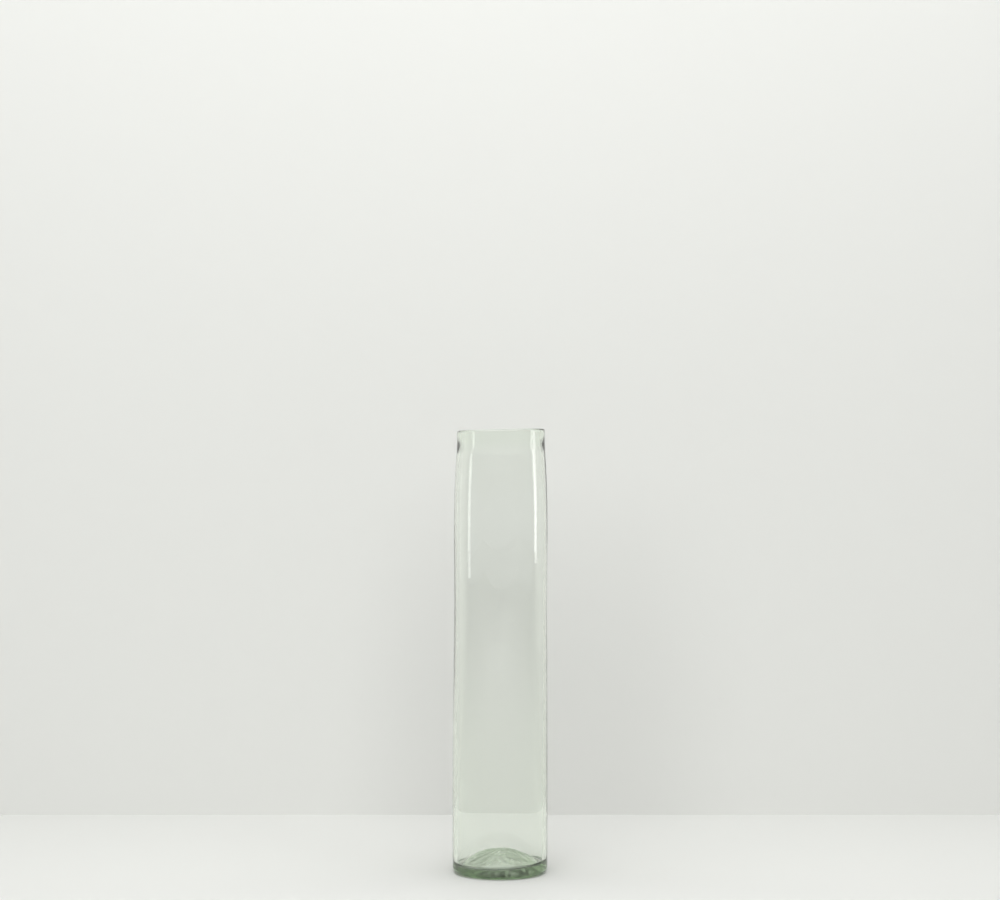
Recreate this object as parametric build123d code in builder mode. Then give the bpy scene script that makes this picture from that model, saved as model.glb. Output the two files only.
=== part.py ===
from build123d import *
import os

# Tall glass cylinder vase, blown by hand in one piece: a cylinder that draws in a little
# towards a thick fire-polished rim, on a heavy base whose middle is pushed up inside.
# Millimetres, +Z up. The origin is the centre of the ring that the vase stands on.

os.makedirs("parts", exist_ok=True)

# Outside
height = 500.0  # from the table to the top of the lip
heel_d = 107.2  # widest, just above the heel
body_d = 105.4  # the straight lower two thirds
shoulder_d = 104.8  # where the cylinder starts to draw in
neck_d = 102.2
rim_d = 99.2  # just under the lip
heel_radius = 7.5  # the soft corner between the wall and the foot
lip_round = 2.6  # fire-polished, nearly a full half circle

# Inside
mouth_d = 88.0  # the narrowest way in, a short straight throat under the lip
throat_length = 5.0
bead_foot = 470.0  # the lip is a thick bead inside: from this height down the wall is thin
bead_foot_d = 93.6
wall = 3.3  # glass at mid height and at the shoulder
neck_wall = 3.7
low_wall = 5.0  # glass just above the floor

# Base
foot_inner_d = 82.0  # the foot is a flat ring: this is its inner edge
foot_inner_round = 2.5
kick_up = 16.0  # how far the underside is pushed up in the middle
floor_top = 27.0  # top of the domed floor, from the table
floor_edge = 4.5  # where that dome would meet the wall with no fillet between them
floor_fillet = 4.5
pontil_d = 18.0  # polished hollow where the pontil iron was broken off
pontil_depth = 0.8

# Heights along the wall
heel_top = 30.0
inner_heel_top = 36.0
mid_height = 250.0
shoulder_height = 315.0
neck_height = 459.0
throat_top = height - lip_round
throat_bottom = throat_top - throat_length
bead_top = 491.0  # the outside is upright from here to the lip

heel_r, body_r, shoulder_r = heel_d / 2, body_d / 2, shoulder_d / 2
neck_r, rim_r, mouth_r = neck_d / 2, rim_d / 2, mouth_d / 2
foot_r, pontil_r, bead_foot_r = foot_inner_d / 2, pontil_d / 2, bead_foot_d / 2
floor_r = heel_r - low_wall
up, down = (0, 1), (0, -1)


def dome_height(top, rise, half_width, distance):
    """Height of a ball-shaped dome at a distance from the axis, where its top lies."""
    ball = (half_width**2 + rise**2) / (2 * rise)
    return top - ball + (ball**2 - distance**2) ** 0.5


def kick_height(distance):
    return dome_height(kick_up, kick_up, foot_r, distance)


def floor_height(distance):
    return dome_height(floor_top, floor_top - floor_edge, floor_r, distance)


pontil_edge = kick_height(pontil_r)
pontil_top = pontil_edge + pontil_depth
pontil_mid = dome_height(pontil_top, pontil_depth, pontil_r, pontil_r / 2)

with BuildPart() as glass_vase:
    with BuildSketch(Plane.XZ) as section:
        with BuildLine():
            # underside: the polished pontil mark, the kick-up, then the flat foot ring
            pontil = ThreePointArc((0, pontil_top), (pontil_r / 2, pontil_mid), (pontil_r, pontil_edge))
            kick = ThreePointArc(pontil @ 1, (foot_r / 2, kick_height(foot_r / 2)), (foot_r, 0))
            foot = Line(kick @ 1, (heel_r, 0))
            # outside of the wall, from the heel up to the lip
            heel = Line(foot @ 1, (heel_r, heel_top))
            outside = Spline(
                heel @ 1,
                (body_r, mid_height),
                (shoulder_r, shoulder_height),
                (neck_r, neck_height),
                (rim_r, bead_top),
                tangents=(up, up),
            )
            rim_side = Line(outside @ 1, (rim_r, height))
            lip = Line(rim_side @ 1, (mouth_r, height))
            # inside of the wall, from the throat down to the domed floor
            throat = Line(lip @ 1, (mouth_r, throat_bottom))
            bead = Spline(throat @ 1, (bead_foot_r, bead_foot), tangents=(down, down))
            inside = Spline(
                bead @ 1,
                (neck_r - neck_wall, neck_height),
                (shoulder_r - wall, shoulder_height),
                (body_r - wall, mid_height),
                (floor_r, inner_heel_top),
                tangents=(down, down),
            )
            inner_heel = Line(inside @ 1, (floor_r, floor_edge))
            floor = ThreePointArc(inner_heel @ 1, (floor_r / 2, floor_height(floor_r / 2)), (0, floor_top))
            Line(floor @ 1, pontil @ 0)
        make_face()
        for corner, radius in (
            ((heel_r, 0), heel_radius),
            ((foot_r, 0), foot_inner_round),
            ((floor_r, floor_edge), floor_fillet),
            ((rim_r, height), lip_round),
            ((mouth_r, height), lip_round),
        ):
            fillet(section.vertices().sort_by_distance((*corner, 0))[0], radius)
    revolve(axis=Axis.Z)

glass_vase.part.label = "glass_vase"
export_step(glass_vase.part, "parts/glass_vase.step")
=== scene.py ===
"""Looks of a tall hand-blown glass cylinder vase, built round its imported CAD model.

The glass is one closed surface: the CAD profile turned round the axis, with the small unevenness of
blown glass on it, and a few air seeds inside. Lengths are in millimetres until they become vertices.
"""

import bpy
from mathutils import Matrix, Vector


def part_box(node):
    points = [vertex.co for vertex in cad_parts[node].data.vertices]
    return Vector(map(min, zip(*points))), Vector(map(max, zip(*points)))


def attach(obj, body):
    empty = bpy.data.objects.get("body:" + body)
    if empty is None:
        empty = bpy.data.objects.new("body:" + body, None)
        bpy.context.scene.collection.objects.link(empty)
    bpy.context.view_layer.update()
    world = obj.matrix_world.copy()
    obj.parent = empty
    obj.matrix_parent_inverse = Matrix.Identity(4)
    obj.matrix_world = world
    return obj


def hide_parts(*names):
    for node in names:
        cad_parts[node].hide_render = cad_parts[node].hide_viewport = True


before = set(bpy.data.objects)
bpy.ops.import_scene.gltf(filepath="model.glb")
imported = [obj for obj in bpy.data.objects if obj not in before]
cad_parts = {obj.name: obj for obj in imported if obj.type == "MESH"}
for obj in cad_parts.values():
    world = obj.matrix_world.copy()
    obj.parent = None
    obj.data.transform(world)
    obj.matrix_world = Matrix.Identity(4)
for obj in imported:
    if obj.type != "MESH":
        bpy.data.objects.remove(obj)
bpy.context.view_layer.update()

import math

import bpy
import numpy as np

MM = 0.001
NODE = "glass_vase"
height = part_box(NODE)[1][2] / MM
heel_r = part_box(NODE)[1][0] / MM

# The CAD profile's own sizes, as radii and heights
body_r, shoulder_r, neck_r, rim_r, mouth_r = 52.7, 52.4, 51.1, 49.6, 44.0
wall, neck_wall, low_wall = 3.3, 3.7, 5.0
heel_radius, lip_round = 7.5, 2.6
foot_r, foot_round, kick_up = 41.0, 2.5, 16.0
floor_top, floor_edge, floor_fillet = 27.0, 4.5, 4.5
pontil_r, pontil_depth = 9.0, 0.8
heel_top, inner_heel_top, mid_height = 30.0, 36.0, 0.5 * height
shoulder_height, neck_height = 0.63 * height, 0.918 * height
throat_length = 5.0
throat_top = height - lip_round
throat_bottom = throat_top - throat_length
bead_top, bead_foot, bead_foot_r = 0.982 * height, 0.94 * height, 46.8
floor_r = heel_r - low_wall

# Mesh density
SEGMENTS = 304
WALL_STEP, BAND_STEP, BEAD_STEP, CURVE_STEP = 9.0, 3.0, 0.9, 0.75

# Unevenness of the blown glass
LEAN = 1.1  # the mouth stands this far to +X of the foot
RIM_TILT = 1.1  # the lip is this much higher at +X, and lower at -X
OUTER_WAVE, INNER_WAVE, CORD = 0.04, 0.12, 0.015
FLOOR_TILT, FLOOR_WAVE, SWIRL = 1.6, 0.22, 0.24
# each set of waves: how many, the most of them round the glass, and their length along it
SLOW_WAVES, CORD_WAVES, FLOOR_WAVES = (9, 3, 260.0), (14, 26, 900.0), (7, 4, 60.0)
# each set of swirls on the floor: its height as a share of SWIRL, arms, and turn in radians per mm
SWIRLS = (0.7, 9, -0.24), (0.6, 19, 0.38)
SOFTEN = 7  # points that are averaged to round the foot's inner edge
LIP_SHARE = 0.4  # how much of the slow waves is left at the lip
TILT_TOWARDS = 0.3  # the floor is highest this way, in radians from +X
CALM_CENTRE = 2, 16  # the floor's unevenness grows between these radii
TILT_FROM, SWIRLS_TO = 20, 34  # the tilt grows outside one radius, the swirls fade outside the other
FLOOR_FADE, LIP_TILT_FADE = 10, 60  # heights over which the floor's and the lip's unevenness fade
OUTER_DRAWS, INNER_DRAWS, SEED_DRAWS = 7, 11, 23  # numbers that start the random draws


# ---------------------------------------------------------------- the profile


def clamped_spline(heights, radii, steps):
    """Radii at the given steps on the smooth curve through the points, upright at both ends."""
    h, r = np.array(heights, float), np.array(radii, float)
    gap = np.diff(h)
    slope = np.diff(r) / gap
    n = len(h)
    matrix, right = np.zeros((n, n)), np.zeros(n)
    matrix[0, :2] = 2 * gap[0], gap[0]
    right[0] = 6 * slope[0]
    matrix[-1, -2:] = gap[-1], 2 * gap[-1]
    right[-1] = -6 * slope[-1]
    for i in range(1, n - 1):
        matrix[i, i - 1 : i + 2] = gap[i - 1], 2 * (gap[i - 1] + gap[i]), gap[i]
        right[i] = 6 * (slope[i] - slope[i - 1])
    bend = np.linalg.solve(matrix, right)
    i = np.clip(np.searchsorted(h, steps) - 1, 0, n - 2)
    a, b = (h[i + 1] - steps) / gap[i], (steps - h[i]) / gap[i]
    return a * r[i] + b * r[i + 1] + ((a**3 - a) * bend[i] + (b**3 - b) * bend[i + 1]) * gap[i] ** 2 / 6


def arc(centre, radius, start, end):
    """Points on an arc, from angle start to angle end in degrees, without its last point."""
    count = max(int(abs(math.radians(end - start)) * radius / CURVE_STEP), 8)
    turn = np.radians(np.linspace(start, end, count, endpoint=False))
    return np.column_stack([centre[0] + radius * np.cos(turn), centre[1] + radius * np.sin(turn)])


def dome(top, rise, half_width, distance):
    """Height of a ball-shaped dome at a distance from the axis."""
    ball = (half_width**2 + rise**2) / (2 * rise)
    return top - ball + np.sqrt(ball**2 - distance**2)


def straight(start, end, step):
    """Points from start towards end, without the last."""
    count = max(int(math.dist(start, end) / step), 2)
    return np.linspace(start, end, count, endpoint=False)


def wall_side(radii, heights, step, upwards):
    count = int((heights[-1] - heights[0]) / step)
    steps = np.linspace(heights[0], heights[-1], count, endpoint=False)
    if not upwards:
        steps = np.linspace(heights[-1], heights[0], count, endpoint=False)
    return np.column_stack([clamped_spline(heights, radii, steps), steps])


def profile():
    """The closed outline from the axis underneath to the axis inside.

    Returns its points, how many of them lie on the underside, and how many lie outside.
    """
    # underside: pontil mark, kick-up and a rounded step down to the foot ring
    out = np.arange(CURVE_STEP, foot_r + foot_round, CURVE_STEP)
    kick = dome(kick_up, kick_up, foot_r, np.minimum(out, foot_r))
    pontil = pontil_depth * np.clip(1 - (out / pontil_r) ** 2, 0, None)
    under = np.column_stack([out, kick + pontil])
    padded = np.pad(under[:, 1], SOFTEN // 2, mode="edge")
    soften = np.convolve(padded, np.ones(SOFTEN) / SOFTEN, mode="valid")
    near_foot = out > foot_r - 2 * foot_round
    under[near_foot, 1] = np.maximum(soften[near_foot] - soften[-1], 0)
    heel_centre = (heel_r - heel_radius, heel_radius)
    lip_out = (rim_r - lip_round, throat_top)
    lip_in = (mouth_r + lip_round, throat_top)
    outside = [
        under,
        straight((foot_r + foot_round, 0), (heel_centre[0], 0), CURVE_STEP),
        arc(heel_centre, heel_radius, -90, 0),
        straight((heel_r, heel_radius), (heel_r, heel_top), BAND_STEP),
        wall_side((heel_r, body_r, shoulder_r, neck_r, rim_r),
                  (heel_top, mid_height, shoulder_height, neck_height, bead_top), WALL_STEP, True),
        straight((rim_r, bead_top), (rim_r, throat_top), CURVE_STEP),
        arc(lip_out, lip_round, 0, 90),
    ]
    # the floor's fillet is a ball rolling between the upright wall and the floor's dome
    ball = (floor_r**2 + (floor_top - floor_edge) ** 2) / (2 * (floor_top - floor_edge))
    fillet_x = floor_r - floor_fillet
    fillet_z = floor_top - ball + math.sqrt((ball + floor_fillet) ** 2 - fillet_x**2)
    touch = fillet_x * ball / (ball + floor_fillet)
    turn = math.degrees(math.atan2(fillet_x, fillet_z - floor_top + ball))
    inward = np.arange(touch, CURVE_STEP / 2, -CURVE_STEP)
    inside = [
        arc(lip_in, lip_round, 90, 180),
        straight((mouth_r, throat_top), (mouth_r, throat_bottom), CURVE_STEP),
        wall_side((bead_foot_r, mouth_r), (bead_foot, throat_bottom), BEAD_STEP, False),
        wall_side((floor_r, body_r - wall, shoulder_r - wall, neck_r - neck_wall, bead_foot_r),
                  (inner_heel_top, mid_height, shoulder_height, neck_height, bead_foot), WALL_STEP, False),
        straight((floor_r, inner_heel_top), (floor_r, fillet_z), BAND_STEP),
        arc((fillet_x, fillet_z), floor_fillet, 0, -90 - turn),
        np.column_stack([inward, dome(floor_top, floor_top - floor_edge, floor_r, inward)]),
    ]
    first = np.concatenate(outside)
    return np.concatenate([first, *inside]), len(outside[0]) + len(outside[1]), len(first)


# ------------------------------------------------- the unevenness of blown glass


def smooth(low, high, x):
    t = np.clip((x - low) / (high - low), 0, 1)
    return t * t * (3 - 2 * t)


def waves(theta, z, draws, count, most, length):
    """A sum of seeded waves round and along the glass, of about unit height."""
    total = np.zeros(np.broadcast(theta, z).shape)
    for _ in range(count):
        around = draws.integers(1, most + 1)
        along = draws.normal() * 2 * math.pi / length
        total += draws.normal() * np.cos(around * theta + along * z + draws.uniform(0, 2 * math.pi))
    return total / math.sqrt(count)


def uneven(r, z, theta, inner):
    """The outline's points as they lie on the real, hand-made glass: x, y, z."""
    draws = np.random.default_rng(INNER_DRAWS if inner else OUTER_DRAWS)
    on_wall = smooth(heel_radius, heel_top, z)
    lip_fade = 1 - smooth(neck_height, throat_bottom, z)
    slow = waves(theta, z, draws, *SLOW_WAVES)
    cords = waves(theta, z, draws, *CORD_WAVES)
    share = LIP_SHARE + (1 - LIP_SHARE) * lip_fade
    grow = (INNER_WAVE if inner else OUTER_WAVE) * slow * share + CORD * cords
    r = r + grow * on_wall
    if inner:
        floor = (1 - smooth(heel_top, inner_heel_top + FLOOR_FADE, z)) * smooth(*CALM_CENTRE, r)
        z = z + floor * FLOOR_TILT * np.cos(theta - TILT_TOWARDS) * smooth(TILT_FROM, floor_r, r)
        z = z + floor * FLOOR_WAVE * waves(theta, r, draws, *FLOOR_WAVES)
        swirls = sum(part * np.cos(arms * theta + turn * r) for part, arms, turn in SWIRLS)
        z = z + floor * SWIRL * swirls * (1 - smooth(SWIRLS_TO, floor_r, r))
    z = z + RIM_TILT * np.cos(theta) * smooth(neck_height - LIP_TILT_FADE, height, z)
    shift = LEAN * z / height
    return r * np.cos(theta) + shift, r * np.sin(theta), z


def turned(points, outside_count):
    """Vertices and faces of the closed glass surface."""
    theta = np.arange(SEGMENTS) * 2 * math.pi / SEGMENTS
    rings = []
    for i, (r, z) in enumerate(points):
        x, y, up = uneven(np.full(SEGMENTS, r), np.full(SEGMENTS, z), theta, i >= outside_count)
        rings.append(np.column_stack([x, y, up]))
    under_pole = np.array([[0, 0, kick_up + pontil_depth]])
    floor_pole = np.array([[LEAN * floor_top / height, 0, floor_top]])
    vertices = np.concatenate([under_pole, *rings, floor_pole]) * MM
    n, last = SEGMENTS, len(vertices) - 1
    faces = [(0, 1 + (j + 1) % n, 1 + j) for j in range(n)]
    for i in range(len(rings) - 1):
        a, b = 1 + i * n, 1 + (i + 1) * n
        faces += [(a + j, a + (j + 1) % n, b + (j + 1) % n, b + j) for j in range(n)]
    top = 1 + (len(rings) - 1) * n
    faces += [(top + j, top + (j + 1) % n, last) for j in range(n)]
    return vertices, faces


SEEDS, SEED_SIDES = 22, 12
# distance from the axis, radius, and how many times longer than wide
SEED_REACH, SEED_SIZE, SEED_DRAWN = (8, 42), (0.25, 0.6), (1.0, 2.2)
SEED_FROM_UNDERSIDE, SEED_FROM_FLOOR = 2, 3


def seeds():
    """A few drawn-out air bubbles in the base's glass, facing inwards because they are holes in it."""
    draws = np.random.default_rng(SEED_DRAWS)
    turn = np.arange(SEED_SIDES) * 2 * math.pi / SEED_SIDES
    tilt = np.linspace(0, math.pi, SEED_SIDES // 2 + 1)
    vertices, faces = [], []
    for _ in range(SEEDS):
        away, around = draws.uniform(*SEED_REACH), draws.uniform(0, 2 * math.pi)
        low = dome(kick_up, kick_up, foot_r, min(away, foot_r)) + SEED_FROM_UNDERSIDE
        high = dome(floor_top, floor_top - floor_edge, floor_r, away) - SEED_FROM_FLOOR
        size, drawn = draws.uniform(*SEED_SIZE), draws.uniform(*SEED_DRAWN)
        across = size * drawn * np.outer(np.sin(tilt), np.cos(turn)).ravel()
        along = size * np.outer(np.sin(tilt), np.sin(turn)).ravel()
        up = size * np.repeat(np.cos(tilt), SEED_SIDES) + draws.uniform(low, high)
        x = away * np.cos(around) - across * np.sin(around) + along * np.cos(around)
        y = away * np.sin(around) + across * np.cos(around) + along * np.sin(around)
        first = len(vertices)
        vertices += list(np.column_stack([x, y, up]) * MM)
        for i in range(len(tilt) - 1):
            a, b = first + i * SEED_SIDES, first + (i + 1) * SEED_SIDES
            for j in range(SEED_SIDES):
                k = (j + 1) % SEED_SIDES
                faces.append((a + j, b + j, b + k, a + k))
    return vertices, faces


# ------------------------------------------------------------------- materials


def node(tree, kind, **values):
    """Adds a node. A value's name is an input socket's, or else a property's."""
    made = tree.nodes.new(kind)
    for name, value in values.items():
        label = name.replace("_", " ")
        if label in made.inputs:
            made.inputs[label].default_value = value
        else:
            setattr(made, name, value)
    return made


IOR = 1.51
SATIN = 0.24  # roughness of the underside
# the light that the glass lets pass best, and how strongly it takes the rest, per metre
TINT, TINT_DENSITY = (0.30, 0.71, 0.10, 1), 10.0
# ripples per metre across and along the glass, then how strong they are and how deep in metres
RIPPLE_SCALE, RIPPLE_STRENGTH, RIPPLE_DEPTH = (60, 60, 7), 0.08, 0.0004


def glass_material():
    """Clear soda glass, green by its depth, with faint drawn ripples and a satin underside."""
    made = bpy.data.materials.new("blown_glass")
    made.use_nodes = True
    tree = made.node_tree
    surface = tree.nodes["Principled BSDF"]
    for name, value in {
        "Base Color": (1, 1, 1, 1), "Transmission Weight": 1.0, "IOR": IOR, "Roughness": 0.0,
    }.items():
        surface.inputs[name].default_value = value
    # the underside is satin, from the tools and from standing on tables
    worn = node(tree, "ShaderNodeAttribute", attribute_name="underside")
    satin = node(tree, "ShaderNodeMath", operation="MULTIPLY")
    satin.inputs[1].default_value = SATIN
    tree.links.new(worn.outputs["Fac"], satin.inputs[0])
    tree.links.new(satin.outputs[0], surface.inputs["Roughness"])
    depth = node(tree, "ShaderNodeVolumeAbsorption", Color=TINT, Density=TINT_DENSITY)
    tree.links.new(depth.outputs[0], tree.nodes["Material Output"].inputs["Volume"])
    place = node(tree, "ShaderNodeTexCoord")
    drawn = node(tree, "ShaderNodeMapping", Scale=RIPPLE_SCALE)
    tree.links.new(place.outputs["Object"], drawn.inputs["Vector"])
    ripple = node(tree, "ShaderNodeTexNoise", Scale=1.0, Detail=2.0)
    tree.links.new(drawn.outputs[0], ripple.inputs["Vector"])
    bump = node(tree, "ShaderNodeBump", Strength=RIPPLE_STRENGTH, Distance=RIPPLE_DEPTH)
    tree.links.new(ripple.outputs[0], bump.inputs["Height"])
    tree.links.new(bump.outputs[0], surface.inputs["Normal"])
    return made


def plain_material(name, colour, roughness):
    made = bpy.data.materials.new(name)
    made.use_nodes = True
    surface = made.node_tree.nodes["Principled BSDF"]
    surface.inputs["Base Color"].default_value = (*colour, 1)
    surface.inputs["Roughness"].default_value = roughness
    surface.inputs["Specular IOR Level"].default_value = DULL
    return made


# ------------------------------------------------------------------ the vase


def object_from(name, vertices, faces, material):
    mesh = bpy.data.meshes.new(name)
    mesh.from_pydata([tuple(v) for v in vertices], [], faces)
    mesh.materials.append(material)
    mesh.shade_smooth()
    mesh.update()
    made = bpy.data.objects.new(name, mesh)
    bpy.context.scene.collection.objects.link(made)
    return made


points, underside_count, outside_count = profile()
vertices, faces = turned(points, outside_count)
bubbles, bubble_faces = seeds()
faces += [tuple(corner + len(vertices) for corner in face) for face in bubble_faces]
vertices = list(vertices) + bubbles
vase = object_from("blown_vase", vertices, faces, glass_material())
satin = (np.arange(len(vertices)) <= SEGMENTS * underside_count).astype(np.float32)
vase.data.attributes.new("underside", "FLOAT", "POINT").data.foreach_set("value", satin)
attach(vase, "root")
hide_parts(NODE)


# ------------------------------------------------------------------- the stage

# places in metres, the lens and its sensor in millimetres
WALL_Y, CAMERA_Y, CAMERA_Z = 0.406, -2.6, 0.477
REACH, BACKDROP_TOP = 6, 5
LENS, SENSOR = 82.8, 36
TABLE_COLOUR, BACKDROP_COLOUR = (0.70, 0.705, 0.68), (0.78, 0.785, 0.755)
TABLE_ROUGHNESS, BACKDROP_ROUGHNESS = 0.6, 0.9
DULL = 0.2  # how much the table and the backdrop shine
BOUNCES = 24  # enough for light to find its way out of the thick base


def sheet(name, corners, colour, roughness):
    made = object_from(name, corners, [(0, 1, 2, 3)], plain_material(name, colour, roughness))
    return made


sheet("floor", [(-REACH, -REACH, 0), (REACH, -REACH, 0), (REACH, REACH, 0), (-REACH, REACH, 0)],
      TABLE_COLOUR, TABLE_ROUGHNESS)
backdrop = sheet("backdrop", [(-REACH, WALL_Y, 0), (REACH, WALL_Y, 0),
                              (REACH, WALL_Y, BACKDROP_TOP), (-REACH, WALL_Y, BACKDROP_TOP)],
                 BACKDROP_COLOUR, BACKDROP_ROUGHNESS)
# the backdrop shows only from its front, so the vase can be seen from behind too
tree = backdrop.data.materials[0].node_tree
side = node(tree, "ShaderNodeNewGeometry")
pick = node(tree, "ShaderNodeMixShader")
tree.links.new(side.outputs["Backfacing"], pick.inputs[0])
tree.links.new(tree.nodes["Principled BSDF"].outputs[0], pick.inputs[1])
tree.links.new(node(tree, "ShaderNodeBsdfTransparent").outputs[0], pick.inputs[2])
tree.links.new(pick.outputs[0], tree.nodes["Material Output"].inputs["Surface"])


def lamp(name, place, aim, size, watts, seen_by_walls=True, seen_in_glass=True):
    light = bpy.data.lights.new(name, "AREA")
    light.shape = "RECTANGLE"
    light.size, light.size_y = size
    light.energy = watts
    made = bpy.data.objects.new(name, light)
    made.location = place
    direction = Vector(aim) - Vector(place)
    made.rotation_euler = direction.to_track_quat("-Z", "Y").to_euler()
    made.visible_camera = False
    made.visible_diffuse = seen_by_walls
    made.visible_glossy = made.visible_transmission = seen_in_glass
    bpy.context.scene.collection.objects.link(made)


lamp("overhead", place=(0, -0.35, 2.6), aim=(0, 0.1, 0), size=(3.0, 2.0), watts=57)
lamp("front", place=(-0.4, -3.6, 2.2), aim=(0, 0.4, 0.6), size=(3.6, 2.4), watts=80, seen_in_glass=False)
lamp("side_strip", place=(1.58, 0.14, 0.93), aim=(0, 0, 0.6), size=(0.26, 1.40), watts=4,
     seen_by_walls=False)

# a dim room for what the glass reflects, and a pale one for what is seen straight or through it
DIM_ROOM, PALE_ROOM, ROOM_COLOUR = 0.19, 0.62, (0.95, 0.96, 1.0, 1)
world = bpy.data.worlds.new("studio")
world.use_nodes = True
tree = world.node_tree
sky = tree.nodes["Background"]
sky.inputs["Color"].default_value = ROOM_COLOUR
ray = node(tree, "ShaderNodeLightPath")
seen = node(tree, "ShaderNodeMath", operation="MAXIMUM")
tree.links.new(ray.outputs["Is Camera Ray"], seen.inputs[0])
tree.links.new(ray.outputs["Is Transmission Ray"], seen.inputs[1])
room = node(tree, "ShaderNodeMapRange", To_Min=DIM_ROOM, To_Max=PALE_ROOM)
tree.links.new(seen.outputs[0], room.inputs["Value"])
tree.links.new(room.outputs[0], sky.inputs["Strength"])
bpy.context.scene.world = world

camera = bpy.data.cameras.new("camera")
camera.lens, camera.sensor_width = LENS, SENSOR
view = bpy.data.objects.new("camera", camera)
view.location = (0, CAMERA_Y, CAMERA_Z)
view.rotation_euler = (math.radians(90), 0, 0)
bpy.context.scene.collection.objects.link(view)
bpy.context.scene.camera = view
bpy.context.scene.view_settings.view_transform = "Standard"
bpy.context.scene.cycles.max_bounces = BOUNCES
bpy.context.scene.cycles.transmission_bounces = BOUNCES
